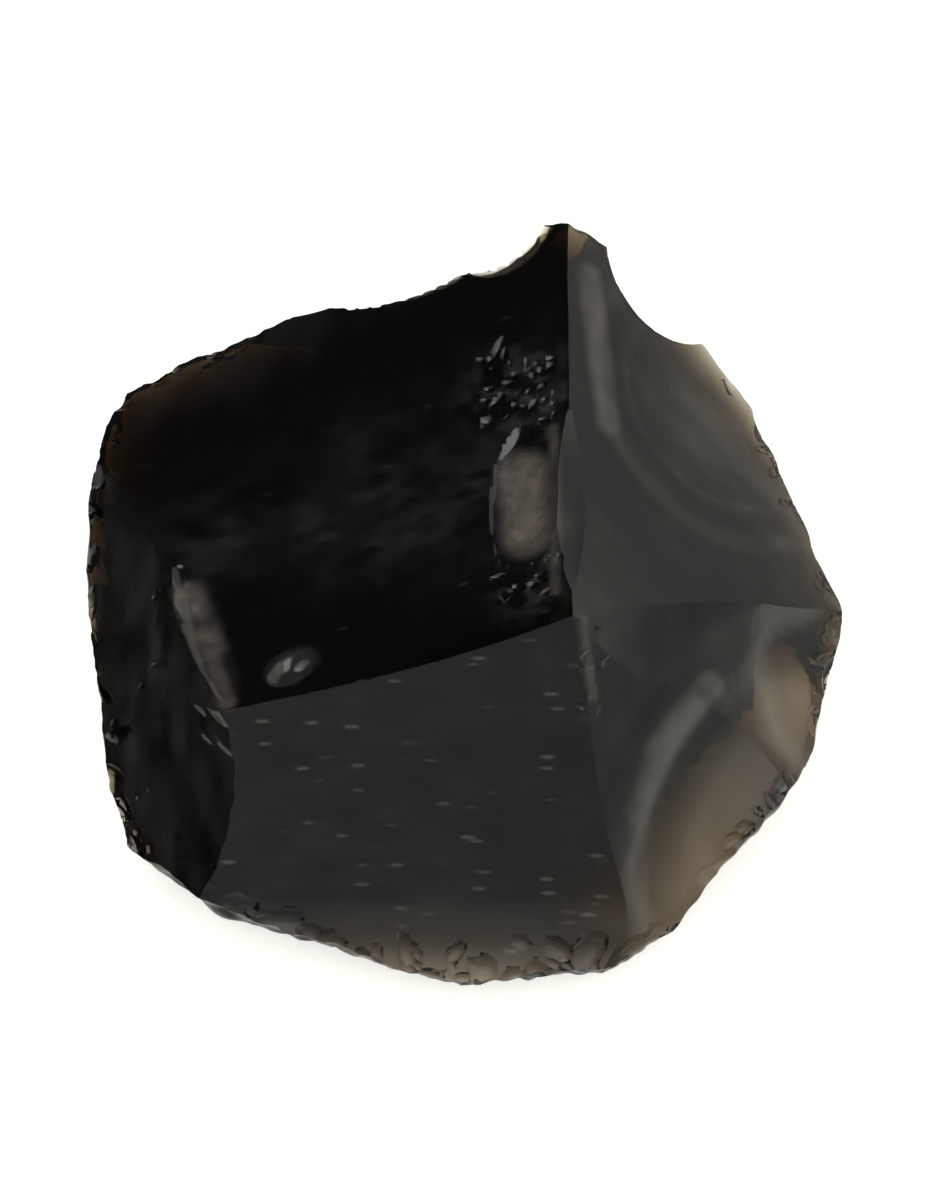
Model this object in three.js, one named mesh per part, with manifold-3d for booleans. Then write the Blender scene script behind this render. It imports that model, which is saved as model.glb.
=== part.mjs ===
// A chunk of obsidian: one piece of volcanic glass, as it broke from a larger lump.
//
// Millimetres, +Z up. The stone lies on the flat scar under it, which is the plane z = 0, and the origin is
// in that plane, under the middle of the stone. -Y is its broad front face, +X is its thin glassy tip.
//
// Obsidian has no grain, so it breaks along shallow dishes. The stone is what is left of a plain block once
// every such fracture has taken its slab, dish or chip away.

import * as THREE from "three";
import { mergeVertices } from "three/addons/utils/BufferGeometryUtils.js";
import Module from "manifold-3d";

const wasm = await Module();
wasm.setup();

// Driving dimensions of the finished stone
const LENGTH = 54; // along X, from the left wall to the tip
const WIDTH = 54; // along Y, from the front rim to the end of the spur
const HEIGHT = 27.5; // along Z, from the resting scar to the apex

const BLOCK_MARGIN = 6; // how much longer than the stone the block is that it is broken out of

// How finely the fractures are cut
const SLAB_SIZE = 96; // side of the slab that a fracture takes away
const SLAB_DEPTH = 60;
const FACE_STEPS = 28; // facets along each side of a slab
const CHIP_STEPS = 18; // facets along each side of a chip
const CHIP_SPAN = 2.3; // how many times its own length and width a chip is cut over
const CHIP_WALL = 20; // the highest that the wall of a chip's bowl is cut
const SCOOP_STEPS = 28; // facets round a scoop

// Corners where fracture faces meet
const APEX = [7.5, -5.5, 27.5];
const LEFT_TOP = [-16.5, -10.5, 21];
const SPUR = [8.5, 27, 12];
const NORTH = [-3, 23, 9];
const NORTH_WEST = [-25, 15.5, 7];
const WEST = [-25, -9.5, 9.5];
const SOUTH_WEST = [-18, -21.5, 9];
const FOOT = [10.5, -24, 5];
const TIP = [27, 0.5, 6];

// The great fractures above the rim. Each is a dish through three corners: bend is one over its radius.
// Past its flare a face curls out level. Within reach of its bulb, where it was struck, it swells.
const TOP_FACES = [
  { corners: [APEX, LEFT_TOP, NORTH], bend: 0.012 },
  { corners: [APEX, LEFT_TOP, FOOT], bend: 0.004, flare: { from: [0, -20.5, 8], bend: 0.11 } },
  { corners: [APEX, SPUR, TIP], bend: 0.01, bulb: { at: [20.5, 16.5, 10], reach: 11, bend: 0.007 } },
  { corners: [APEX, FOOT, TIP], bend: 0.001, bulb: { at: [36, -22, 5], reach: 30.3, bend: 0.058 } },
  { corners: [LEFT_TOP, NORTH_WEST, WEST], bend: 0.006, flare: { from: [-23.5, 1.5, 10.5], bend: 0.12 } },
  { corners: [LEFT_TOP, SOUTH_WEST, WEST], bend: 0.04 },
];

// The fractures under the rim: the way each faces, how steeply it rises outwards, and how far from the
// origin it leaves the resting scar
const UNDER_BEND = 0.004;
const UNDER_FACES = [
  { azimuth: -140, rise: 24, reach: 20 },
  { azimuth: -95, rise: 17, reach: 13.5 },
  { azimuth: -40, rise: 16, reach: 13 },
  { azimuth: 0, rise: 20, reach: 16.5 },
  { azimuth: 65, rise: 24, reach: 14 },
  { azimuth: 120, rise: 30, reach: 22 },
  { azimuth: 190, rise: 34, reach: 17.2 },
];

// The rim seen from above, clockwise from the right of the spur to its left, at the height RIM_HEIGHT.
// The thin edge is snapped off along it, in walls that lean outwards a little.
const RIM_HEIGHT = 6;
const RIM_LEAN = 6;
const RIM = [
  [18.4, 19.4],
  [21.4, 15.8],
  [27, 0.5],
  [24.6, -10.6],
  [14.4, -23],
  [10, -25.5],
  [-0.5, -26.5],
  [-9, -24],
  [-18, -21],
  [-24, -16.5],
  [-25, -10],
  [-27, 3.5],
  [-25.5, 14],
  [-24, 17.5],
  [-12.5, 22.5],
];
const SPUR_END = [
  [6, 27],
  [10.5, 26.5],
];

// Round scoops that bite into the rim: on each side of the spur, at the tip, along the thin front right edge,
// and in the front rim
const SCOOPS = [
  { at: [-13, 48.5, -6], radius: 28.7 },
  { at: [-3.5, 36.5, -3], radius: 17.7 },
  { at: [3, 29, 6], radius: 6.4 },
  { at: [15.6, 26.6, 7], radius: 6.2 },
  { at: [27.8, -4.5, 5], radius: 2.4 },
  { at: [23.4, -14.9, 4], radius: 3 },
  { at: [18.8, -19.2, 3], radius: 2.2 },
  { at: [14.5, -24.2, 3], radius: 1.8 },
  { at: [-6.6, -26.6, 3], radius: 2.3 },
];

// Chips: bowls of a given width, length and depth. slope is how far the floor of the bowl tips from level
// towards its azimuth, turn swings its length round, and steep over 1 makes its walls steeper than its floor.
const CHIPS = [
  // the pale bruise beside the apex
  {
    at: [4.47, 4.64, 18.54], azimuth: 135, slope: 37,
    turn: 40, width: 4.6, length: 10.6, depth: 0.3, steep: 1.5,
  },
  // the worn ridge between the upper left and right faces
  {
    at: [7.4, 3.1, 20.85], azimuth: 64, slope: 34,
    turn: -22, width: 4.4, length: 10, depth: 0.3, steep: 1.2,
  },
  // the dish that rounds off the ridge between the two right faces
  { at: [16, -3.6, 14.6], azimuth: -14, slope: 51, turn: -22, width: 7.5, length: 13, depth: 0.4, steep: 1 },
  // the flute along the left edge of the upper left face
  {
    at: [-17.5, -5.3, 16.5], azimuth: 108, slope: 36.5,
    turn: 0, width: 3, length: 13, depth: 0.5, steep: 1.5,
  },
  // the half-moon chip by the left end of the long ridge
  {
    at: [-11.7, -7.1, 19.2], azimuth: 130, slope: 20,
    turn: 0, width: 4.2, length: 3.4, depth: 0.9, steep: 1.2,
  },
  // the scar and the hollows under the front right and back right edges, which leave them thin
  { at: [18.8, -12, 7.4], azimuth: 149, slope: 158, turn: 0, width: 26, length: 15, depth: 5, steep: 1.3 },
  { at: [15.5, -13, 5.8], azimuth: -40, slope: 174, turn: 0, width: 26, length: 20, depth: 5.3, steep: 1 },
  { at: [15, 14.5, 3.5], azimuth: 50, slope: 172, turn: 0, width: 15, length: 15, depth: 4.8, steep: 1 },
];

const vector = (point) => new THREE.Vector3(...point);
const radians = THREE.MathUtils.degToRad;

// The direction that faces a compass azimuth, tipped from straight up by slope, both in degrees
function facing(azimuth, slope) {
  const across = Math.sin(radians(slope));
  return new THREE.Vector3(
    across * Math.cos(radians(azimuth)),
    across * Math.sin(radians(azimuth)),
    Math.cos(radians(slope)),
  );
}

// The frame of a fracture at a point: its X runs downhill, its Y runs level and its Z points out of the stone
function placed(at, outward, turn = 0) {
  const downhill = new THREE.Vector3(
    outward.x * outward.z,
    outward.y * outward.z,
    -(outward.x ** 2 + outward.y ** 2),
  );
  downhill.normalize().applyAxisAngle(outward, -radians(turn));
  const level = outward.clone().cross(downhill);
  return new THREE.Matrix4().makeBasis(downhill, level, outward).setPosition(at);
}

// A closed three.js shape as a solid
function solid(geometry) {
  const bare = geometry.clone();
  bare.deleteAttribute("normal");
  bare.deleteAttribute("uv");
  const merged = mergeVertices(bare, 1e-5);
  const vertProperties = new Float32Array(merged.attributes.position.array);
  const triVerts = new Uint32Array(merged.index.array);
  return new wasm.Manifold(new wasm.Mesh({ numProp: 3, vertProperties, triVerts }));
}

// The slab above a surface: its underside stands height(x, y) above the XY plane of the matrix's frame
function slab(length, width, steps, height, matrix) {
  const shape = new THREE.BoxGeometry(length, width, SLAB_DEPTH, steps, steps, 1);
  shape.translate(0, 0, SLAB_DEPTH / 2);
  const points = shape.attributes.position;
  for (let i = 0; i < points.count; i += 1) {
    if (points.getZ(i) < SLAB_DEPTH / 2) {
      points.setZ(i, height(points.getX(i), points.getY(i)));
    }
  }
  return solid(shape.applyMatrix4(matrix));
}

// How high a bend rises a distance past where it starts
function rising(distance, bend) {
  return 0.5 * bend * Math.max(distance, 0) ** 2;
}

// The slab that a great fracture takes away
function greatFracture({ corners, bend, flare, bulb }) {
  const triangle = new THREE.Triangle(...corners.map(vector));
  const outward = triangle.getNormal(new THREE.Vector3());
  if (outward.z < 0) {
    outward.negate();
  }
  const centre = middleOf(triangle);
  const dishDepth = 0.5 * bend * centre.distanceToSquared(triangle.a);
  const frame = placed(centre, outward);
  const inFrame = frame.clone().invert();
  const flareFrom = flare ? vector(flare.from).applyMatrix4(inFrame).x : 0;
  const struck = bulb ? vector(bulb.at).applyMatrix4(inFrame) : null;
  const height = (x, y) => {
    let z = 0.5 * bend * (x * x + y * y) - dishDepth;
    if (flare) {
      z += rising(x - flareFrom, flare.bend);
    }
    if (bulb) {
      z += rising(bulb.reach - struck.distanceTo(new THREE.Vector3(x, y, z)), bulb.bend);
    }
    return z;
  };
  return slab(SLAB_SIZE, SLAB_SIZE, FACE_STEPS, height, frame);
}

// The point at the same distance from a triangle's three corners, in its plane
function middleOf({ a, b, c }) {
  const toB = b.clone().sub(a);
  const toC = c.clone().sub(a);
  const across = toB.clone().cross(toC);
  const middle = toC.clone().multiplyScalar(toB.lengthSq());
  middle.addScaledVector(toB, -toC.lengthSq());
  return middle.cross(across).divideScalar(2 * across.lengthSq()).add(a);
}

// The slab that a fracture under the rim takes away
function underFracture({ azimuth, rise, reach }) {
  const at = facing(azimuth, 90).multiplyScalar(reach);
  const height = (x, y) => 0.5 * UNDER_BEND * (x * x + y * y);
  return slab(SLAB_SIZE, SLAB_SIZE, FACE_STEPS, height, placed(at, facing(azimuth, 180 - rise)));
}

// The slab outside one stretch of the rim
function rimWall(from, to) {
  const at = new THREE.Vector3((from[0] + to[0]) / 2, (from[1] + to[1]) / 2, RIM_HEIGHT);
  const azimuth = THREE.MathUtils.radToDeg(Math.atan2(to[0] - from[0], from[1] - to[1]));
  return slab(SLAB_SIZE, SLAB_SIZE, 1, () => 0, placed(at, facing(azimuth, 90 + RIM_LEAN)));
}

// The glass above the bowl of a chip
function chip({ at, azimuth, slope, turn, width, length, depth, steep }) {
  const height = (x, y) => {
    const bowl = depth * ((2 * y / width) ** 2 + (2 * x / length) ** 2) ** steep;
    return Math.min(bowl, CHIP_WALL);
  };
  const frame = placed(vector(at), facing(azimuth, slope), turn);
  return slab(CHIP_SPAN * length, CHIP_SPAN * width, CHIP_STEPS, height, frame);
}

// A ball of glass taken out of the stone
function scoop({ at, radius }) {
  const ball = new THREE.SphereGeometry(radius, SCOOP_STEPS, SCOOP_STEPS / 2);
  return solid(ball.translate(...at));
}

// The stone left of a block by every fracture
function brokenStone() {
  const block = new THREE.BoxGeometry(LENGTH + BLOCK_MARGIN, WIDTH + BLOCK_MARGIN, HEIGHT + BLOCK_MARGIN);
  let stone = solid(block.translate(0, 0, (HEIGHT + BLOCK_MARGIN) / 2));
  const rimStretches = RIM.slice(1).map((point, i) => [RIM[i], point]);
  const losses = [
    ...TOP_FACES.map(greatFracture),
    ...UNDER_FACES.map(underFracture),
    ...[...rimStretches, SPUR_END].map(([from, to]) => rimWall(from, to)),
    ...SCOOPS.map(scoop),
    ...CHIPS.map(chip),
  ];
  for (const loss of losses) {
    stone = stone.subtract(loss);
  }
  return stone;
}

// A solid as three.js geometry
function geometryOf(stone) {
  const { numProp, vertProperties, triVerts } = stone.getMesh();
  const geometry = new THREE.BufferGeometry();
  const points = new THREE.InterleavedBuffer(vertProperties, numProp);
  geometry.setAttribute("position", new THREE.InterleavedBufferAttribute(points, 3, 0));
  geometry.setIndex(new THREE.BufferAttribute(triVerts, 1));
  return geometry;
}

// The geometry at exactly the driving dimensions, resting on z = 0 over the origin
function fitted(geometry) {
  geometry.computeBoundingBox();
  const size = geometry.boundingBox.getSize(new THREE.Vector3());
  const middle = geometry.boundingBox.getCenter(new THREE.Vector3());
  geometry.translate(-middle.x, -middle.y, -geometry.boundingBox.min.z);
  geometry.scale(LENGTH / size.x, WIDTH / size.y, HEIGHT / size.z);
  return geometry;
}

const obsidian = new THREE.MeshStandardMaterial({ color: 0x0b0a09, roughness: 0.08, metalness: 0 });

const chunk = new THREE.Mesh(fitted(geometryOf(brokenStone())), obsidian);
chunk.name = "obsidian_chunk";

const part = new THREE.Group();
part.add(chunk);

export default part;
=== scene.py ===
"""The looks of the obsidian chunk: one broken piece of volcanic glass on a pale floor.

The stone is broken out anew here, from the same fractures as the CAD solid and in its box, with the finer
marks that obsidian shows: unevenness, rings that spread from where each face was struck, dusty films, and
small chips along the thin rim, and with pale streaks painted on as highlights along ridges and flat facets.
Lengths in the tables are millimetres in the stone's own frame: +Z up from the scar that it rests on, -Y
towards its broad front face, +X towards its glassy tip. The scene round the stone is in metres.
"""

import bpy
import numpy as np
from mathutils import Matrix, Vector


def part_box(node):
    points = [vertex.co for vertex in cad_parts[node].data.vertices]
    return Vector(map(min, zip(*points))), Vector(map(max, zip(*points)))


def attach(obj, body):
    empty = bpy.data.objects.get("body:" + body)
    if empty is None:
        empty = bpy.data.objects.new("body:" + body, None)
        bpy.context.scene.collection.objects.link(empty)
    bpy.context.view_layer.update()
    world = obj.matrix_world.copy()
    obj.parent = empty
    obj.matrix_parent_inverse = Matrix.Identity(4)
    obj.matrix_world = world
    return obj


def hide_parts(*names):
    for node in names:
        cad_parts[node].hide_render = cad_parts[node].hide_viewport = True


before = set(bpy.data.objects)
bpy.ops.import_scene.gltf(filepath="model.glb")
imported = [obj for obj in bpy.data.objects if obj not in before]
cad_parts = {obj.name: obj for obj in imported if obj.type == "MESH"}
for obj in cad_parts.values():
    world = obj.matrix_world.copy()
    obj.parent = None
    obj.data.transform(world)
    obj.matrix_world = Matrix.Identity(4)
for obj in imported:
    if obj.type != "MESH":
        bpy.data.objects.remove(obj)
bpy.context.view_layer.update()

# How the stone is meshed
CELL = 0.31  # side of the grid cells
BLOCK_CELLS = 4  # cells along each side of a block, for which the nearby fractures are listed
PINCH_ROUNDS = 3  # how often the grid is searched for pinches, as filling one can make another
LOW = np.array([-29.0, -29.0, -1.2])  # corners of the space that the stone is broken out of
HIGH = np.array([29.0, 30.0, 29.2])
NOWHERE = -1e3  # the height of a fracture where it doesn't matter
SLOPE_STEP = 0.01  # how far apart the heights are that give a slope
LINE_STEP = 0.04  # how finely a vertical line is searched for the stone's surface
LEAST_SLOPE = 0.2  # below this the surface runs too nearly along a grid edge to be corrected
LONGEST_MOVE = 0.3  # of a cell, the most that a crossing is corrected by
CREASE_SHARE = 0.06  # a crease weaker than this share of a cell's main slope doesn't move the cell's point
CELL_SLACK = 0.02  # of a cell, how far its point may lie outside it

# Corners where fracture faces meet
APEX = (7.5, -5.5, 27.5)
LEFT_TOP = (-16.5, -10.5, 21)
SPUR = (8.5, 27, 12)
NORTH = (-3, 23, 9)
NORTH_WEST = (-25, 15.5, 7)
WEST = (-25, -9.5, 9.5)
SOUTH_WEST = (-18, -21.5, 9)
FOOT = (10.5, -24, 5)
TIP = (27, 0.5, 6)

# The great faces above the rim, in the order that they are made
UPPER_LEFT, FRONT, BACK_RIGHT, FRONT_RIGHT, LEFT, LEFT_CORNER = range(6)

# The rim seen from above, clockwise. The thin edge is snapped off along it, in walls that lean outwards.
RIM_HEIGHT = 6
RIM_LEAN = 6
RIM_CHIPS = 75  # small chips along its upper edge, and as many along its lower edge
RIM_CHIP_SEED = 71
RIM = (
    (18.4, 19.4),
    (21.4, 15.8),
    (27, 0.5),
    (24.6, -10.6),
    (14.4, -23),
    (10, -25.5),
    (-0.5, -26.5),
    (-9, -24),
    (-18, -21),
    (-24, -16.5),
    (-25, -10),
    (-27, 3.5),
    (-25.5, 14),
    (-24, 17.5),
    (-12.5, 22.5),
)
SPUR_END = ((6, 27), (10.5, 26.5))

# The fractures under the rim: the azimuth that each faces, its rise outwards, and how far from the origin
# it leaves the resting scar. Each was struck from the rim, a little way round from the middle of the face.
UNDER_STRUCK_RADIUS = 27
UNDER_STRUCK_HEIGHT = 5
UNDER_STRUCK_SWING = 10
UNDER_FACES = (
    (-140, 24, 20),
    (-95, 17, 13.5),
    (-40, 16, 13),
    (0, 20, 16.5),
    (65, 24, 14),
    (120, 30, 22),
    (190, 34, 17.2),
)

# Round scoops that bite into the rim: middle and radius
SCOOPS = (
    ((-13, 48.5, -6), 28.7),
    ((-3.5, 36.5, -3), 17.7),
    ((3, 29, 6), 6.4),
    ((15.6, 26.6, 7), 6.2),
    ((27.8, -4.5, 5), 2.4),
    ((23.4, -14.9, 4), 3.0),
    ((18.8, -19.2, 3), 2.2),
    ((14.5, -24.2, 3), 1.8),
    ((-6.6, -26.6, 3), 2.3),
)

# The scars that stand out: middle, azimuth, slope, turn, width, length, depth, steepness, one layer of
# unevenness (its depth, grain and seed), and how much film lies on it: dust, and on the scar beside the
# apex, the flute and the half-moon chip, painted highlight
SCARS = (
    # the flat scar beside the apex, paled with painted highlight
    ((4.47, 4.64, 18.54), 135, 37, 40, 4.6, 10.6, 0.3, 1.5, (0.03, 2.6, 13), 0.1),
    # the worn ridge between the upper left face and the back right one
    ((7.4, 3.1, 20.85), 64, 34, -22, 4.4, 10, 0.3, 1.2, (0.04, 4, 14), 0.0),
    # the dish that rounds off the ridge between the two right faces
    ((16.0, -3.6, 14.6), -14, 51, -22, 7.5, 13.0, 0.4, 1.0, (0.04, 5, 17), 0.0),
    # the flute along the left edge of the upper left face
    ((-17.5, -5.3, 16.5), 108, 36.5, 0, 3.0, 13, 0.5, 1.5, (0.06, 2.5, 18), 0.1),
    # the half-moon chip by the left end of the long ridge
    ((-11.7, -7.1, 19.2), 130, 20, 0, 4.2, 3.4, 0.9, 1.2, (0.10, 1.3, 19), 0.20),
    # the scar and the hollows underneath that leave the front right and back right edges thin
    ((18.8, -12.0, 7.4), 149, 158, 0, 26, 15, 5, 1.3, (0.08, 5, 29), 0.02),
    ((15.5, -13, 5.8), -40, 174, 0, 26, 20, 5.3, 1.0, (0.06, 6, 15), 0.02),
    ((15, 14.5, 3.5), 50, 172, 0, 15, 15, 4.8, 1.0, (0.06, 6, 16), 0.02),
)

# Patches of tiny chips on the upper side, seen from above: seed, number, two corners, size and tilt
FLECKS = (
    (81, 40, (1.5, 12.0), (6.6, 18.0), 0.6, 0.20),  # behind the flat scar beside the apex
    (82, 14, (2.5, -3.5), (6.6, 0.5), 0.7, 0.25),  # in front of it
    (83, 12, (7.6, -11.0), (9.8, -5.5), 0.9, 0.25),  # where the ridges meet
    (84, 10, (-23.0, -8.0), (-20.8, 1.0), 0.6, 0.30),  # down the left face
    (85, 10, (-24.0, -18.0), (-19.0, -12.5), 0.4, 0.15),  # on the left corner
    (86, 18, (-11.0, -26.0), (9.0, -23.5), 1.8, 0.10),  # along the front edge
)

# Film on the upper left face, seen from above: how much, middle and size. The first two are dust; the third
# is a painted highlight along the worn ridge, in the dust's cloudy grain.
CLOUDY = (
    (0.075, (-4, 7), (9, 6)),
    (0.06, (-19, 4), (6, 3)),
    # painted highlight along the worn ridge
    (0.10, (6, 6), (1.2, 9)),
)
GRITTY = (
    (0.30, (4.2, 14.5), (3.2, 3.0)),
    (0.30, (4.8, -2), (2.2, 2.4)),
)
LEAST_DUST = 0.02  # how dusty the cleanest parts of the dark faces are

# Pale streaks painted on the upper side as highlights, along ridges and on flat facets, seen from above:
# start, end, width and how pale
HIGHLIGHT_STREAKS = (
    ((4.3, 7.6), (4.5, 2.4), 1.9, 0.85),  # painted highlight on the flat scar beside the apex
    ((6.35, 11), (6.35, -3), 0.4, 0.4),  # painted highlight along the worn ridge
    ((9.0, 24), (10.3, 12), 0.9, 0.5),  # painted highlight down the rib from the spur, and painted reflection on round its foot
    ((10.3, 12), (14, 7.6), 1.1, 0.12),
    ((14, 7.6), (17.8, 5.1), 1.2, 0.08),
    ((17.5, -6.4), (13.5, -11.8), 0.9, 0.45),  # painted reflection where the thin edge begins
    ((13.5, -11.8), (12.2, -16), 0.8, 0.3),
    ((8.2, -5.5), (9.0, -9.5), 0.35, 0.4),  # painted highlight where the ridges meet
    ((-19.2, -0.2), (-17.6, -5), 1.2, 0.55),  # painted highlight down the flute
    ((-17.6, -5), (-16.3, -9.8), 0.7, 0.5),
    ((-22, -0.7), (-21, -7.6), 0.4, 0.15),  # painted highlight down the left face
)

# The glass: how much it bends light, and how it takes up light in each metre
GLASS_IOR = 1.49
GLASS_TINT = (0.27, 0.165, 0.0, 1)
GLASS_DENSITY = 1360.0
GLASS_ROUGHNESS = 0.045  # where it is clean
FILM_AND_HIGHLIGHT_COVER = 0.07  # the share of the glass that a full film hides, be it dust or painted highlight
SPECK_COVER = 0.04  # and that a speck hides
DULLNESS = 4.0  # how much rougher the gloss is for each share that is hidden
# the colour of thin and of thick film; the thick film is mostly painted highlight, which the warm colour
# tints
THIN_DUST = (1.0, 0.98, 0.95, 1)
THICK_DUST_AND_HIGHLIGHT = (1.0, 0.86, 0.74, 1)

# How bright the sky is, as stops of height and strength, towards the front and towards the right
FRONT_SKY = ((-0.3, 0.42), (0.08, 0.43), (0.45, 0.75), (0.75, 0.9), (0.95, 2.0))
RIGHT_SKY = (
    (-0.42, 0.4),
    (-0.25, 0.4),
    (-0.1, 0.55),
    (0, 0.8),
    (0.1, 1.9),
    (0.22, 0.8),
    (0.4, 0.7),
    (0.95, 2.2),
)

# The floor, in metres
FLOOR_RADIUS = 3
GLOW_RADIUS = 0.045  # it glows fully out to here
GLOW_END = 0.14  # and not at all from here on
GLOW_STRENGTH = 0.42

# The camera
CAMERA_HEIGHT = 75  # degrees above level
CAMERA_DISTANCE = 0.5
CAMERA_TARGET = (0, 0, 0.009)
VIEW_WIDTH = 0.054 / 0.82  # the stone's width over its share of the picture's
SENSOR_WIDTH = 36


def unit(vector):
    return vector / np.linalg.norm(vector)


def facing(azimuth, slope):
    """The direction that faces an azimuth, counted from +X towards +Y, and is tipped from +Z by slope."""
    around = np.radians(azimuth)
    tip = np.radians(slope)
    return np.array([np.sin(tip) * np.cos(around), np.sin(tip) * np.sin(around), np.cos(tip)])


def waves(x, y, z, seed, grain):
    """Smooth seeded unevenness between about -1 and 1, in lumps of about the grain."""
    rng = np.random.default_rng(seed)
    count = 5
    total = 0
    for _ in range(count):
        along = unit(rng.normal(size=3))
        length = grain * rng.uniform(0.7, 2.3)
        start = rng.uniform(0, 2 * np.pi)
        total = total + np.sin((along[0] * x + along[1] * y + along[2] * z) * (2 * np.pi / length) + start)
    return total / (0.5 * count)


class Fracture:
    """A dished surface that glass has broken away from. Its height is over 0 where the glass is gone."""

    def __init__(
        self, at, outward, turn=0, bend=0, sunk=0, bowl=None, flare=None, bulb=None, uneven=(), rings=()
    ):
        self.at = np.array(at, float)
        self.outward = unit(np.array(outward, float))
        level = np.cross((0, 0, 1), self.outward)
        level = unit(level) if np.linalg.norm(level) > 1e-6 else np.array([0.0, 1.0, 0.0])
        downhill = np.cross(level, self.outward)
        swing = np.radians(turn)
        self.level = np.cos(swing) * level + np.sin(swing) * downhill
        self.downhill = np.cos(swing) * downhill - np.sin(swing) * level
        self.bend = bend  # one over the radius of the dish
        self.sunk = sunk  # how deep the middle of the dish lies
        self.bowl = bowl  # width, length, depth and steepness of a chip
        self.flare = flare  # where the face curls out level, and how sharply
        self.bulb = bulb  # where it was struck, how far the swelling reaches, and its bend
        self.uneven = uneven  # for each layer of unevenness, its depth, grain and seed
        self.rings = rings  # rings round a point: (point, first radius, last radius, spacing, height)
        self.flare_from = 0.0
        if flare:
            self.flare_from = float(self.downhill @ (np.array(flare[0], float) - self.at))

    @property
    def reach(self):
        """How far from its middle a chip can matter, or None for a fracture that matters everywhere."""
        if self.bowl is None:
            return None
        width, length, _, _ = self.bowl
        return 1.15 * max(width, length)

    def depth_share(self, points):
        """How far out each point is over the floor of a chip: 0 at its middle and 1 at its edge."""
        away = points - self.at
        return (2 * away @ self.level / self.bowl[0]) ** 2 + (2 * away @ self.downhill / self.bowl[1]) ** 2

    def height(self, points):
        """How far out from the glass each point is, over 0 where this fracture has taken it away."""
        x, y, z = (points - self.at).T
        up = self.outward[0] * x + self.outward[1] * y + self.outward[2] * z
        across = self.level[0] * x + self.level[1] * y + self.level[2] * z
        along = self.downhill[0] * x + self.downhill[1] * y + self.downhill[2] * z
        height = up + self.sunk - 0.5 * self.bend * (across**2 + along**2)
        if self.bowl:
            width, length, depth, steep = self.bowl
            height = height - depth * ((2 * across / width) ** 2 + (2 * along / length) ** 2) ** steep
        if self.flare:
            height = height - 0.5 * self.flare[1] * np.maximum(along - self.flare_from, 0) ** 2
        if self.bulb:
            struck, reach, bend = self.bulb
            distance = np.linalg.norm(points - np.array(struck, float), axis=1)
            height = height - 0.5 * bend * np.maximum(reach - distance, 0) ** 2
        for depth, grain, seed in self.uneven:
            height = height + depth * waves(x, y, z, seed, grain)
        for centre, first, last, spacing, size in self.rings:
            distance = np.linalg.norm(points - np.array(centre, float), axis=1)
            fade = np.clip((distance - first) / spacing, 0, 1) * np.clip((last - distance) / spacing, 0, 1)
            height = height + size * fade * np.cos((distance - first) * (2 * np.pi / spacing))
        return height


class Scoop:
    """A ball of glass that is gone."""

    def __init__(self, at, radius):
        self.at = np.array(at, float)
        self.radius = radius
        self.reach = radius

    def height(self, points):
        return self.radius - np.linalg.norm(points - self.at, axis=1)


def through(corners, bend, **more):
    """A dish through three corners."""
    a, b, c = (np.array(corner, float) for corner in corners)
    to_b = b - a
    to_c = c - a
    across = np.cross(to_b, to_c)
    middle = a + np.cross((to_b @ to_b) * to_c - (to_c @ to_c) * to_b, across) / (2 * (across @ across))
    outward = across if across[2] > 0 else -across
    return Fracture(middle, outward, bend=bend, sunk=0.5 * bend * ((middle - a) @ (middle - a)), **more)


def great_fractures():
    """The six faces above the rim."""
    return [
        # upper left
        through(
            (APEX, LEFT_TOP, NORTH),
            0.012,
            uneven=((0.10, 14, 1), (0.012, 2.5, 2)),
            rings=(((-3, 26, 8), 8, 30, 3.1, 0.012),),
        ),
        # front
        through(
            (APEX, LEFT_TOP, FOOT),
            0.004,
            flare=((0, -20.5, 8), 0.11),
            uneven=((0.03, 18, 3), (0.004, 3, 4)),
        ),
        # back right
        through(
            (APEX, SPUR, TIP),
            0.010,
            bulb=((20.5, 16.5, 10), 11, 0.007),
            uneven=((0.05, 12, 5), (0.006, 2.5, 6)),
            rings=(((20.5, 16.5, 10), 8.8, 13.2, 4.4, 0.2), ((20.5, 16.5, 10), 13, 30, 2.6, 0.004)),
        ),
        # front right
        through(
            (APEX, FOOT, TIP),
            0.001,
            bulb=((36, -22, 5), 30.3, 0.058),
            uneven=((0.05, 10, 7), (0.006, 2.5, 8)),
            rings=(((36, -22, 5), 8, 25, 1.9, 0.004),),
        ),
        # left
        through(
            (LEFT_TOP, NORTH_WEST, WEST),
            0.006,
            flare=((-23.5, 1.5, 10.5), 0.12),
            uneven=((0.10, 7, 9), (0.02, 1.6, 10)),
            rings=(((-70, -8, 0), 42, 54, 1.7, 0.025),),
        ),
        # left corner
        through((LEFT_TOP, SOUTH_WEST, WEST), 0.04, uneven=((0.12, 4, 11), (0.02, 1.2, 12))),
    ]


def named_scars():
    """The scars that stand out, each a bowl, with how dusty it is."""
    scars = []
    for at, azimuth, slope, turn, width, length, depth, steep, uneven, dust_and_highlight in SCARS:
        bowl = (width, length, depth, steep)
        scars.append((Fracture(at, facing(azimuth, slope), turn=turn, bowl=bowl, uneven=(uneven,)), dust_and_highlight))
    return scars


def under_fractures():
    """The resting scar, and the faces between it and the rim."""
    faces = [Fracture((0, 0, 0), (0, 0, -1))]
    for k, (azimuth, rise, reach) in enumerate(UNDER_FACES):
        at = reach * facing(azimuth, 90)
        struck = UNDER_STRUCK_RADIUS * facing(azimuth + UNDER_STRUCK_SWING, 90) + (0, 0, UNDER_STRUCK_HEIGHT)
        faces.append(
            Fracture(
                at,
                facing(azimuth, 180 - rise),
                bend=0.004,
                uneven=((0.12, 9, 20 + k),),
                rings=((struck, 3, 24, 2.2 + 0.2 * k, 0.025),),
            )
        )
    return faces


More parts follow.
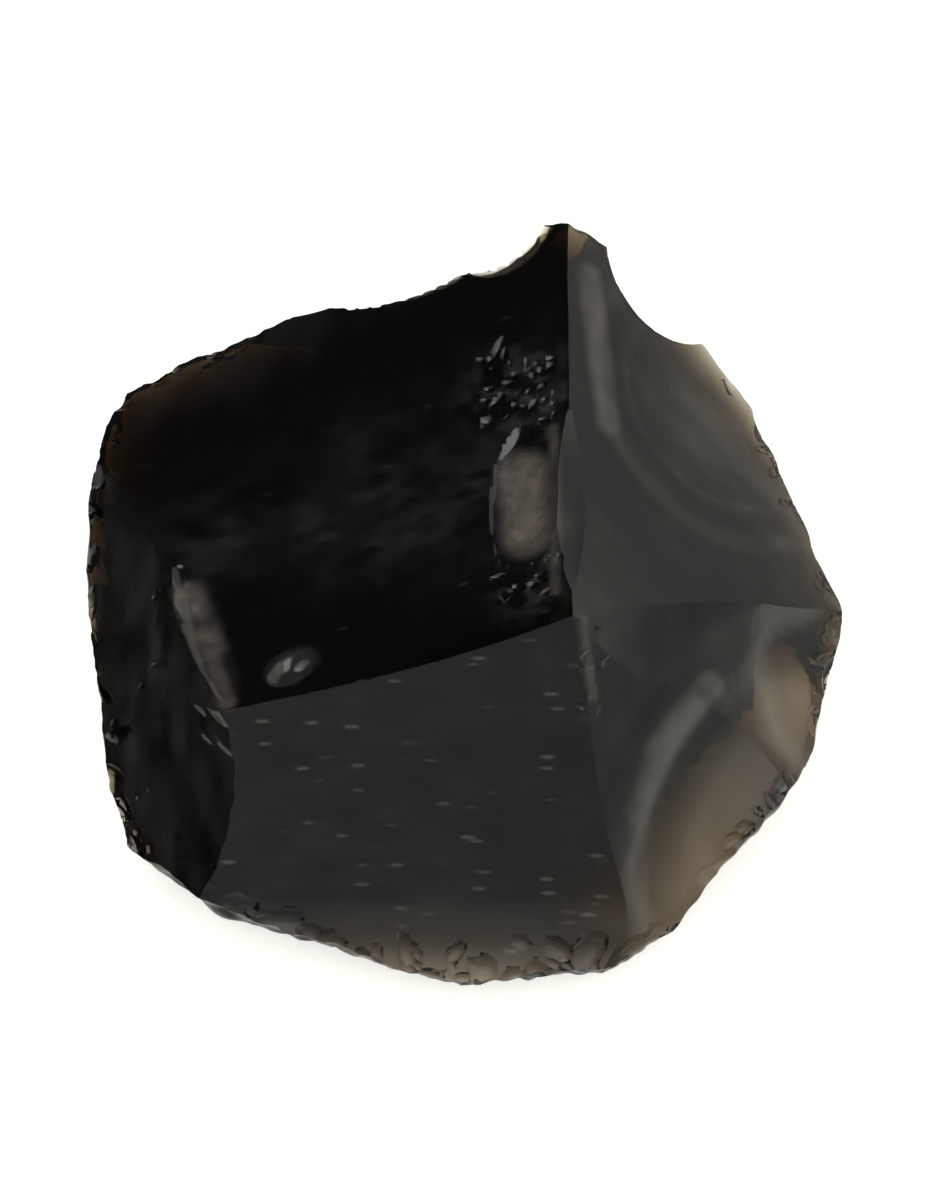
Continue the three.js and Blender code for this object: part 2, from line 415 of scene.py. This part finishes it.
def rim_walls():
    """The snapped edge, one wall for each stretch of the rim."""
    walls = []
    for k, (start, end) in enumerate([*zip(RIM, RIM[1:]), SPUR_END]):
        at = ((start[0] + end[0]) / 2, (start[1] + end[1]) / 2, RIM_HEIGHT)
        azimuth = np.degrees(np.arctan2(end[0] - start[0], start[1] - end[1]))
        walls.append(
            Fracture(at, facing(azimuth, 90 + RIM_LEAN), uneven=((0.25, 5, 40 + k), (0.09, 1.5, 60 + k)))
        )
    return walls


def surface_point(stone, x, y, downwards=True):
    """Where a vertical line first meets the stone, and the way the stone faces there, if it does meet it."""
    levels = np.arange(HIGH[2], LOW[2], -LINE_STEP)
    if not downwards:
        levels = levels[::-1]
    line = np.column_stack((np.full(len(levels), x), np.full(len(levels), y), levels))
    height, which = stone.height(line)
    if height.min() > 0:
        return None
    first = np.argmax(height < 0)
    return line[first], stone.normals(line[first : first + 1], which[first : first + 1])[0]


def small_chip(rng, at, outward, size, depth):
    """A shallow chip, a little longer than wide, swung round at random."""
    bowl = (size * rng.uniform(0.6, 1.0), size * rng.uniform(1.0, 1.5), depth, rng.uniform(0.9, 1.4))
    return Fracture(at - 0.6 * depth * outward, outward, turn=rng.uniform(0, 180), bowl=bowl)


def rim_chips(stone):
    """Small chips that bite into the upper and lower edges of the rim."""
    rng = np.random.default_rng(RIM_CHIP_SEED)
    corners = [np.array((x, y, RIM_HEIGHT), float) for x, y in RIM]
    lengths = np.array([np.linalg.norm(b - a) for a, b in zip(corners, corners[1:])])
    chips = []
    for downwards in (True, False):
        for _ in range(RIM_CHIPS):
            k = rng.choice(len(lengths), p=lengths / lengths.sum())
            start, end = corners[k], corners[k + 1]
            outward = unit(np.array([start[1] - end[1], end[0] - start[0], 0]))
            place = start + rng.uniform(0, 1) * (end - start)
            place -= rng.uniform(0.3, 0.7) * outward
            lift = rng.uniform(0.5, 2.0) * (1 if downwards else -1)
            size = rng.uniform(0.7, 1.4) + 1.6 * rng.uniform(0, 1) ** 4
            found = surface_point(stone, place[0], place[1], downwards)
            if found:
                chips.append(small_chip(rng, found[0], unit(outward + (0, 0, lift)), size, 0.15 * size))
    return chips


def flecks(stone, seed, count, low, high, size, tilt):
    """Tiny chips scattered over a patch of the upper side, given by its corners seen from above."""
    rng = np.random.default_rng(seed)
    chips = []
    for _ in range(count):
        x, y = rng.uniform(low, high)
        lean = tilt * rng.normal(size=3)
        wide = size * rng.uniform(0.6, 1.6)
        found = surface_point(stone, x, y)
        if found:
            chips.append(small_chip(rng, found[0], unit(found[1] + lean), wide, 0.16 * wide))
    return chips


def scattered_chips(stone):
    """The small marks: along the rim, and in patches on the upper side."""
    chips = rim_chips(stone)
    for patch in FLECKS:
        chips += flecks(stone, *patch)
    return chips


class Stone:
    """What the fractures leave. Space is in blocks, and each block lists the fractures that matter in it."""

    def __init__(self, fractures):
        self.fractures = fractures
        self.block_size = BLOCK_CELLS * CELL
        self.shape = np.ceil((HIGH - LOW) / self.block_size).astype(int)
        index = np.stack(np.meshgrid(*(np.arange(n) for n in self.shape), indexing="ij"), -1).reshape(-1, 3)
        middles = LOW + (index + 0.5) * self.block_size
        diagonal = self.block_size * 3**0.5
        broad = np.full((len(fractures), len(middles)), NOWHERE)
        for k, fracture in enumerate(fractures):
            if fracture.reach is None:
                broad[k] = fracture.height(middles)
        self.rough_height = broad.max(0)
        self.matters = broad > self.rough_height - 2.5 * diagonal
        for k, fracture in enumerate(fractures):
            if fracture.reach is not None:
                distance = np.linalg.norm(middles - fracture.at, axis=1)
                self.matters[k] = distance < fracture.reach + diagonal

    def block(self, points):
        """The block that each point is in."""
        index = np.clip(((points - LOW) / self.block_size).astype(int), 0, self.shape - 1)
        return (index[:, 0] * self.shape[1] + index[:, 1]) * self.shape[2] + index[:, 2]

    def height(self, points):
        """How far outside the stone each point is, and the fracture that says so."""
        block = self.block(points)
        best = np.full(len(points), NOWHERE)
        which = np.zeros(len(points), int)
        for k, fracture in enumerate(self.fractures):
            near = np.flatnonzero(self.matters[k][block])
            if len(near) == 0:
                continue
            height = fracture.height(points[near])
            higher = height > best[near]
            best[near[higher]] = height[higher]
            which[near[higher]] = k
        return best, which

    def normals(self, points, which):
        """The outward direction of each point's own fracture there."""
        slopes = np.zeros_like(points)
        for k in np.unique(which):
            own = which == k
            for axis in range(3):
                shift = np.zeros(3)
                shift[axis] = SLOPE_STEP
                ahead = self.fractures[k].height(points[own] + shift)
                behind = self.fractures[k].height(points[own] - shift)
                slopes[own, axis] = ahead - behind
        return slopes / np.linalg.norm(slopes, axis=1, keepdims=True)


def grid_field(stone):
    """The stone's height at every corner of the grid, and how many there are each way.

    It is exact near the broad fractures. Elsewhere it is theirs alone, so a scar that bites deeper than the
    near blocks reach is cut short there.
    """
    shape = stone.shape * BLOCK_CELLS
    near_surface = 1.6 * stone.block_size + 0.6  # past half a block's diagonal and the depth of a small chip
    near_blocks = np.abs(stone.rough_height).reshape(stone.shape) < near_surface
    for axis in range(3):
        grown = near_blocks.copy()
        ahead = [slice(None)] * 3
        behind = [slice(None)] * 3
        ahead[axis] = slice(1, None)
        behind[axis] = slice(None, -1)
        grown[tuple(ahead)] |= near_blocks[tuple(behind)]
        grown[tuple(behind)] |= near_blocks[tuple(ahead)]
        near_blocks = grown
    field = stone.rough_height.reshape(stone.shape)
    near = near_blocks
    for axis in range(3):
        field = np.repeat(field, BLOCK_CELLS, axis)
        near = np.repeat(near, BLOCK_CELLS, axis)
    at = np.argwhere(near)
    field = field.copy()
    field[near] = stone.height(LOW + at * CELL)[0]
    for _ in range(PINCH_ROUNDS):
        field = without_pinches(field)
    return field, shape


def without_pinches(field):
    """The field with the gaps filled where two stretches of surface would meet along one line."""
    for first, second in ((0, 1), (1, 2), (2, 0)):
        corners = []
        for i, j in ((0, 0), (0, 1), (1, 0), (1, 1)):
            part = [slice(None)] * 3
            part[first] = slice(i, field.shape[first] - 1 + i)
            part[second] = slice(j, field.shape[second] - 1 + j)
            corners.append(field[tuple(part)])
        inside = [corner < 0 for corner in corners]
        pinched = (inside[0] == inside[3]) & (inside[1] == inside[2]) & (inside[0] != inside[1])
        for corner in corners:
            corner[pinched] = np.minimum(corner[pinched], -0.1 * CELL)
    return field


def crossings(stone, field):
    """Where the surface crosses the grid's edges: points, edge axis, edge start, if the start is inside."""
    inside = field < 0
    points = []
    axes = []
    starts = []
    inward = []
    for axis in range(3):
        first = [slice(None)] * 3
        second = [slice(None)] * 3
        first[axis] = slice(0, -1)
        second[axis] = slice(1, None)
        at = np.argwhere(inside[tuple(first)] != inside[tuple(second)])
        step = np.eye(3, dtype=int)[axis]
        here = field[tuple(at.T)]
        there = field[tuple((at + step).T)]
        points.append(LOW + (at + (here / (here - there))[:, None] * step) * CELL)
        axes.append(np.full(len(at), axis))
        starts.append(at)
        inward.append(inside[tuple(at.T)])
    points = np.concatenate(points)
    axes = np.concatenate(axes)
    # one correction along the edge, by the slope of the surface there
    height, which = stone.height(points)
    along = stone.normals(points, which)[np.arange(len(points)), axes]
    steep = np.abs(along) > LEAST_SLOPE
    move = np.where(steep, -height / np.where(steep, along, 1), 0)
    points[np.arange(len(points)), axes] += np.clip(move, -LONGEST_MOVE * CELL, LONGEST_MOVE * CELL)
    return points, axes, np.concatenate(starts), np.concatenate(inward)


def mesh_stone(stone):
    """Dual contouring: a point in each cell that the surface crosses, on the crease between its faces."""
    field, shape = grid_field(stone)
    points, axes, starts, inward = crossings(stone, field)
    which = stone.height(points)[1]
    normals = stone.normals(points, which)
    # the four cells round each crossed edge
    round_edge = np.zeros((len(points), 4, 3), int)
    for axis, (i, j) in enumerate(((1, 2), (2, 0), (0, 1))):
        own = axes == axis
        for corner, (di, dj) in enumerate(((-1, -1), (0, -1), (0, 0), (-1, 0))):
            cells = starts[own].copy()
            cells[:, i] += di
            cells[:, j] += dj
            round_edge[own, corner] = cells
    flat = (round_edge[..., 0] * shape[1] + round_edge[..., 1]) * shape[2] + round_edge[..., 2]
    cells, index = np.unique(flat, return_inverse=True)
    index = index.reshape(flat.shape)
    count = np.zeros(len(cells))
    mass = np.zeros((len(cells), 3))
    square = np.zeros((len(cells), 3, 3))
    pull = np.zeros((len(cells), 3))
    outer = normals[:, :, None] * normals[:, None, :]
    lift = normals * (normals * points).sum(1)[:, None]
    for corner in range(4):
        np.add.at(count, index[:, corner], 1)
        np.add.at(mass, index[:, corner], points)
        np.add.at(square, index[:, corner], outer)
        np.add.at(pull, index[:, corner], lift)
    mass /= count[:, None]
    sizes, vectors = np.linalg.eigh(square)
    kept = sizes > CREASE_SHARE * sizes[:, -1:]
    inverse = np.where(kept, 1 / np.where(kept, sizes, 1), 0)
    rest = pull - np.einsum("nij,nj->ni", square, mass)
    vertices = mass + np.einsum("nij,nj,nkj,nk->ni", vectors, inverse, vectors, rest)
    corner = LOW + np.stack(np.unravel_index(cells, shape), 1) * CELL
    vertices = np.clip(vertices, corner - CELL_SLACK * CELL, corner + (1 + CELL_SLACK) * CELL)
    quads = np.where(inward[:, None], index, index[:, ::-1])
    return vertices, quads


def fitted(vertices, low, high):
    """The vertices scaled and moved so that their box is the given one."""
    own_low = vertices.min(0)
    own_high = vertices.max(0)
    return low + (vertices - own_low) * ((high - low) / (own_high - own_low))


def build_chunk():
    """The stone as a Blender object in the CAD node's box, with each face's own normals."""
    scars = named_scars()
    great = great_fractures()
    fractures = great + [scar for scar, _ in scars] + under_fractures() + rim_walls()
    fractures += [Scoop(at, radius) for at, radius in SCOOPS]
    stone = Stone(fractures + scattered_chips(Stone(fractures)))
    vertices, quads = mesh_stone(stone)
    which = stone.height(vertices[quads].mean(1))[1]
    loops = quads.reshape(-1)
    normals = stone.normals(vertices[loops], np.repeat(which, 4))
    low, high = (np.array(corner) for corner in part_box("obsidian_chunk"))
    mesh = bpy.data.meshes.new("obsidian_chunk_glass")
    mesh.from_pydata(fitted(vertices, low, high).tolist(), [], quads.tolist())
    mesh.polygons.foreach_set("use_smooth", np.ones(len(quads), bool))
    mesh.normals_split_custom_set(normals.tolist())
    which = stone.height(vertices)[1]
    upward = stone.normals(vertices, which)[:, 2] > 0
    film_and_highlight, specks = dust_and_highlight_amounts(vertices, which, upward, scars)
    # the film attribute holds the dust and the painted highlight streaks alike
    for name, amounts in (("film_and_highlight", film_and_highlight), ("specks", specks)):
        mesh.attributes.new(name, "FLOAT", "POINT").data.foreach_set("value", amounts.astype(np.float32))
    mesh.update()
    chunk = bpy.data.objects.new("obsidian_chunk_glass", mesh)
    bpy.context.collection.objects.link(chunk)
    return chunk


def mound(points, middle, size):
    """1 at the middle, falling smoothly to 0 at about twice the size, seen from above."""
    away = (points[:, :2] - middle) / size
    return np.exp(-(away**2).sum(1))


def highlight_streak(points, start, end, width):
    """1 along a line seen from above, and falling softly to 0 a little past the width at each side."""
    start = np.array(start, float)
    line = np.array(end, float) - start
    share = np.clip((points[:, :2] - start) @ line / (line @ line), 0, 1)
    away = np.linalg.norm(points[:, :2] - start - share[:, None] * line, axis=1)
    return np.exp(-((away / width) ** 4))


def lumps(points, grain, seed):
    """Cloudy amounts from 0 to 1, in lumps of about the grain, which may differ along X, Y and Z."""
    table = np.random.default_rng(seed).random((16, 16, 16))
    place = points / grain
    corner = np.floor(place).astype(int)
    part = place - corner
    part = part * part * (3 - 2 * part)
    total = np.zeros(len(points))
    for step in np.ndindex(2, 2, 2):
        share = np.where(step, part, 1 - part).prod(1)
        total += share * table[tuple(((corner + step) % 16).T)]
    return total


def dust_and_highlight_amounts(points, which, upward, scars):
    """How much film, of dust and of painted highlight, and how many specks of dust, lie at each point, both
    from 0 to 1.
    """
    clouds = lumps(points, 2.6, 91) * lumps(points, (1.9, 0.8, 0.8), 92) * 4
    grit = np.clip(lumps(points, 0.9, 93) * 4 - 1.8, 0, 1)
    stripes = lumps(points, (0.9, 3.5, 3.5), 95) * lumps(points, 2.6, 96) * 4
    mottle = lumps(points, 1.2, 94)
    cloudy = sum(dust_and_highlight * mound(points, middle, size) for dust_and_highlight, middle, size in CLOUDY)
    gritty = sum(dust_and_highlight * mound(points, middle, size) for dust_and_highlight, middle, size in GRITTY)
    film_and_highlight = 0.03 * clouds
    film_and_highlight = np.where(which == UPPER_LEFT, LEAST_DUST + cloudy * clouds + gritty * grit, film_and_highlight)
    film_and_highlight = np.where(which == LEFT, LEAST_DUST + 0.08 * stripes, film_and_highlight)
    film_and_highlight = np.where(which == LEFT_CORNER, LEAST_DUST + 0.07 * stripes, film_and_highlight)
    # the scars' film: dust, and painted highlight on the scar beside the apex, the flute and the half-moon
    # chip
    for scar, dust_and_highlight in scars:
        close = np.abs((points - scar.at) @ scar.outward) < 1
        within = np.clip((1.3 - scar.depth_share(points)) / 0.8, 0, 1) * close
        film_and_highlight = np.maximum(film_and_highlight, dust_and_highlight * within * (0.8 + 0.4 * mottle))
    # the painted highlight streaks, laid on the upper side only
    for start, end, width, dust_and_highlight in HIGHLIGHT_STREAKS:
        cover = dust_and_highlight * highlight_streak(points, start, end, width) * (0.6 + 0.8 * mottle)
        film_and_highlight = np.where(upward, np.maximum(film_and_highlight, cover), film_and_highlight)
    specks = np.where(which == FRONT, 0.8, 0.1)
    return film_and_highlight, specks


def add_node(tree, kind, **settings):
    """A shader node, with its settings: sockets by name, and properties by their own names."""
    node = tree.nodes.new(kind)
    for name, value in settings.items():
        socket = node.inputs.get(name.replace("_", " "))
        if socket is None:
            setattr(node, name, value)
        elif isinstance(value, bpy.types.NodeSocket):
            tree.links.new(value, socket)
        else:
            socket.default_value = value
    return node


def noise(tree, place, scale, detail, roughness):
    """Smooth noise over a place, in lumps of about one over the scale."""
    node = add_node(tree, "ShaderNodeTexNoise", Scale=scale, Detail=detail, Roughness=roughness)
    tree.links.new(place, node.inputs["Vector"])
    return node.outputs["Fac"]


def spread(tree, value, low, high, to_low=0.0, to_high=1.0):
    """A value spread from one range to another, and held within it."""
    node = add_node(tree, "ShaderNodeMapRange", Value=value, From_Min=low, From_Max=high)
    node.inputs["To Min"].default_value = to_low
    node.inputs["To Max"].default_value = to_high
    return node.outputs["Result"]


def combined(tree, operation, first, second):
    """The sum, difference or product of two values."""
    node = add_node(tree, "ShaderNodeMath", operation=operation)
    for socket, value in zip(node.inputs, (first, second)):
        if isinstance(value, bpy.types.NodeSocket):
            tree.links.new(value, socket)
        else:
            socket.default_value = value
    return node.outputs["Value"]


def amount(tree, name):
    """What the mesh's attribute of that name says at each place."""
    return add_node(tree, "ShaderNodeAttribute", attribute_name=name).outputs["Fac"]


def obsidian_material():
    """Black-brown glass, clear where it is thin, under a thin uneven film and specks of its own dust, and
    pale streaks painted on as highlights.
    """
    material = bpy.data.materials.new("obsidian_glass")
    material.use_nodes = True
    tree = material.node_tree
    shader = tree.nodes["Principled BSDF"]
    output = tree.nodes["Material Output"]
    place = add_node(tree, "ShaderNodeTexCoord").outputs["Object"]
    grain = noise(tree, place, scale=1300, detail=1.0, roughness=0.6)

    # the film, of dust and of painted highlight: as much as its attribute says, in fine grains
    film_and_highlight = combined(tree, "MULTIPLY", spread(tree, grain, 0.35, 0.65, 0.85, 1.15), amount(tree, "film_and_highlight"))

    # the specks: small cells, longer one way, of which a few hold a speck
    cells = add_node(tree, "ShaderNodeTexVoronoi", Scale=1000.0, Randomness=1.0)
    stretched = add_node(tree, "ShaderNodeVectorMath", operation="MULTIPLY")
    tree.links.new(place, stretched.inputs[0])
    stretched.inputs[1].default_value = (0.35, 1.0, 1.0)
    tree.links.new(stretched.outputs["Vector"], cells.inputs["Vector"])
    lot = add_node(tree, "ShaderNodeSeparateColor", Color=cells.outputs["Color"])
    chosen = spread(tree, combined(tree, "SUBTRACT", amount(tree, "specks"), lot.outputs["Red"]), 0.0, 0.5)
    spot = spread(tree, cells.outputs["Distance"], 0.25, 0.10)
    specks = combined(tree, "MULTIPLY", spot, chosen)

    film_and_highlight_share = combined(tree, "MULTIPLY", film_and_highlight, FILM_AND_HIGHLIGHT_COVER)
    speck_share = combined(tree, "MULTIPLY", specks, SPECK_COVER)
    dust_and_highlight = combined(tree, "ADD", film_and_highlight_share, speck_share)
    tree.links.new(combined(tree, "SUBTRACT", 1.0, dust_and_highlight), shader.inputs["Transmission Weight"])

    # the film is warm where it is thick, and its thickest parts are the painted highlights, so these are
    # tinted warm
    warmth = add_node(tree, "ShaderNodeMix", data_type="RGBA")
    tree.links.new(film_and_highlight, warmth.inputs["Factor"])
    warmth.inputs["A"].default_value = THIN_DUST
    warmth.inputs["B"].default_value = THICK_DUST_AND_HIGHLIGHT
    tree.links.new(warmth.outputs["Result"], shader.inputs["Base Color"])

    # gloss: sharp, and duller under the dust and the painted highlights
    dull = combined(tree, "MULTIPLY", dust_and_highlight, DULLNESS)
    tree.links.new(combined(tree, "ADD", dull, GLASS_ROUGHNESS), shader.inputs["Roughness"])

    # relief: faint, fine waves
    bump = add_node(tree, "ShaderNodeBump", Strength=0.3, Distance=0.00003)
    tree.links.new(grain, bump.inputs["Height"])
    tree.links.new(bump.outputs["Normal"], shader.inputs["Normal"])

    shader.inputs["IOR"].default_value = GLASS_IOR
    absorption = add_node(tree, "ShaderNodeVolumeAbsorption", Color=GLASS_TINT, Density=GLASS_DENSITY)
    tree.links.new(absorption.outputs["Volume"], output.inputs["Volume"])
    return material


def floor_material():
    """Near-white, and glowing a little under the stone, as a light table does."""
    material = bpy.data.materials.new("pale_floor")
    material.use_nodes = True
    tree = material.node_tree
    shader = tree.nodes["Principled BSDF"]
    place = add_node(tree, "ShaderNodeTexCoord")
    distance = add_node(tree, "ShaderNodeVectorMath", operation="LENGTH")
    tree.links.new(place.outputs["Object"], distance.inputs[0])
    away = add_node(tree, "ShaderNodeMapRange", interpolation_type="SMOOTHSTEP")
    away.inputs["From Min"].default_value = GLOW_RADIUS
    away.inputs["From Max"].default_value = GLOW_END
    tree.links.new(distance.outputs["Value"], away.inputs["Value"])
    colour = add_node(tree, "ShaderNodeMix", data_type="RGBA")
    tree.links.new(away.outputs["Result"], colour.inputs["Factor"])
    colour.inputs["A"].default_value = (0.86, 0.86, 0.85, 1)
    colour.inputs["B"].default_value = (0.55, 0.55, 0.55, 1)
    tree.links.new(colour.outputs["Result"], shader.inputs["Base Color"])
    glow = spread(tree, away.outputs["Result"], 0.0, 1.0, GLOW_STRENGTH, 0.0)
    tree.links.new(glow, shader.inputs["Emission Strength"])
    shader.inputs["Roughness"].default_value = 0.9
    shader.inputs["Specular IOR Level"].default_value = 0.0
    shader.inputs["Emission Color"].default_value = (1, 1, 1, 1)
    return material


def build_floor():
    """A broad pale disc, which the stone's gloss doesn't see."""
    mesh = bpy.data.meshes.new("floor")
    turns = np.linspace(0, 2 * np.pi, 97)[:-1]
    ring = [(FLOOR_RADIUS * np.cos(t), FLOOR_RADIUS * np.sin(t), 0) for t in turns]
    mesh.from_pydata(ring, [], [list(range(len(ring)))])
    floor = bpy.data.objects.new("floor", mesh)
    bpy.context.collection.objects.link(floor)
    floor.data.materials.append(floor_material())
    floor.visible_glossy = False


def aim(thing, at, target):
    """Put a lamp or camera at a place, looking at its target."""
    thing.location = at
    thing.rotation_euler = (Vector(target) - Vector(at)).to_track_quat("-Z", "Y").to_euler()


def soft_box(name, direction, distance, size, radiance):
    """A rectangular light as seen from the stone: which way it is, how far, how large and how bright."""
    light = bpy.data.lights.new(name, "AREA")
    light.shape = "RECTANGLE"
    light.size = size[0]
    light.size_y = size[1]
    light.energy = radiance * np.pi * size[0] * size[1]
    lamp = bpy.data.objects.new(name, light)
    bpy.context.collection.objects.link(lamp)
    aim(lamp, Vector(direction).normalized() * distance, (0, 0, 0))


def black_card(name, first, last, radius, bottom, top):
    """A curved black card that only the stone's gloss sees, between two azimuths and two heights."""
    turns = np.radians(np.linspace(first, last, 32))
    low = [(radius * np.cos(t), radius * np.sin(t), bottom) for t in turns]
    high = [(radius * np.cos(t), radius * np.sin(t), top) for t in turns]
    count = len(turns)
    quads = [(i, i + 1, count + i + 1, count + i) for i in range(count - 1)]
    mesh = bpy.data.meshes.new(name)
    mesh.from_pydata(low + high, [], quads)
    material = bpy.data.materials.new(name)
    material.use_nodes = True
    shader = material.node_tree.nodes["Principled BSDF"]
    shader.inputs["Base Color"].default_value = (0.02, 0.02, 0.02, 1)
    shader.inputs["Specular IOR Level"].default_value = 0.0
    mesh.materials.append(material)
    card = bpy.data.objects.new(name, mesh)
    bpy.context.collection.objects.link(card)
    card.visible_camera = False
    card.visible_diffuse = False
    card.visible_transmission = False
    card.visible_shadow = False


def sky_strength(tree, height, stops):
    """How bright the sky is at a height, the Z of the direction, between stops of height and strength."""
    ramp = add_node(tree, "ShaderNodeValToRGB", Fac=spread(tree, height, -1.0, 1.0))
    brightest = max(strength for _, strength in stops)
    elements = ramp.color_ramp.elements
    while len(elements) < len(stops):
        elements.new(1.0)
    for element, (level, strength) in zip(elements, stops):
        element.position = (level + 1) / 2
        element.color = (*[strength / brightest] * 3, 1)
    return combined(tree, "MULTIPLY", ramp.outputs["Color"], brightest)


def build_world():
    """A soft pale surround: brightest overhead, with a pale band just above the horizon on the right."""
    world = bpy.data.worlds.new("studio")
    bpy.context.scene.world = world
    world.use_nodes = True
    tree = world.node_tree
    background = tree.nodes["Background"]
    background.inputs["Color"].default_value = (1.0, 0.995, 0.90, 1)
    way = add_node(tree, "ShaderNodeTexCoord").outputs["Generated"]
    parts = add_node(tree, "ShaderNodeSeparateXYZ", Vector=way)
    height = parts.outputs["Z"]
    front = sky_strength(tree, height, FRONT_SKY)
    right = sky_strength(tree, height, RIGHT_SKY)
    rightness = spread(tree, parts.outputs["X"], 0.2, 0.6)
    mixed = add_node(tree, "ShaderNodeMix", Factor=rightness, A=front, B=right)
    tree.links.new(mixed.outputs["Result"], background.inputs["Strength"])


def build_camera():
    """A camera that looks steeply down at the stone from the front."""
    camera = bpy.data.cameras.new("camera")
    camera.sensor_fit = "HORIZONTAL"
    camera.sensor_width = SENSOR_WIDTH
    camera.lens = SENSOR_WIDTH * CAMERA_DISTANCE / VIEW_WIDTH
    eye = bpy.data.objects.new("camera", camera)
    bpy.context.collection.objects.link(eye)
    height = np.radians(CAMERA_HEIGHT)
    away = Vector((0, -np.cos(height), np.sin(height)))
    aim(eye, Vector(CAMERA_TARGET) + away * CAMERA_DISTANCE, CAMERA_TARGET)
    bpy.context.scene.camera = eye


chunk = build_chunk()
chunk.data.materials.append(obsidian_material())
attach(chunk, "root")
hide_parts("obsidian_chunk")
build_floor()
black_card("back_card", first=93, last=168, radius=0.2, bottom=-0.1, top=0.18)
black_card("left_card", first=140, last=238, radius=0.062, bottom=-0.03, top=0.028)
soft_box("key_light", direction=(-0.26, 0.60, 0.75), distance=0.6, size=(0.28, 0.28), radiance=2.4)
build_world()
build_camera()
bpy.context.scene.view_settings.view_transform = "Standard"
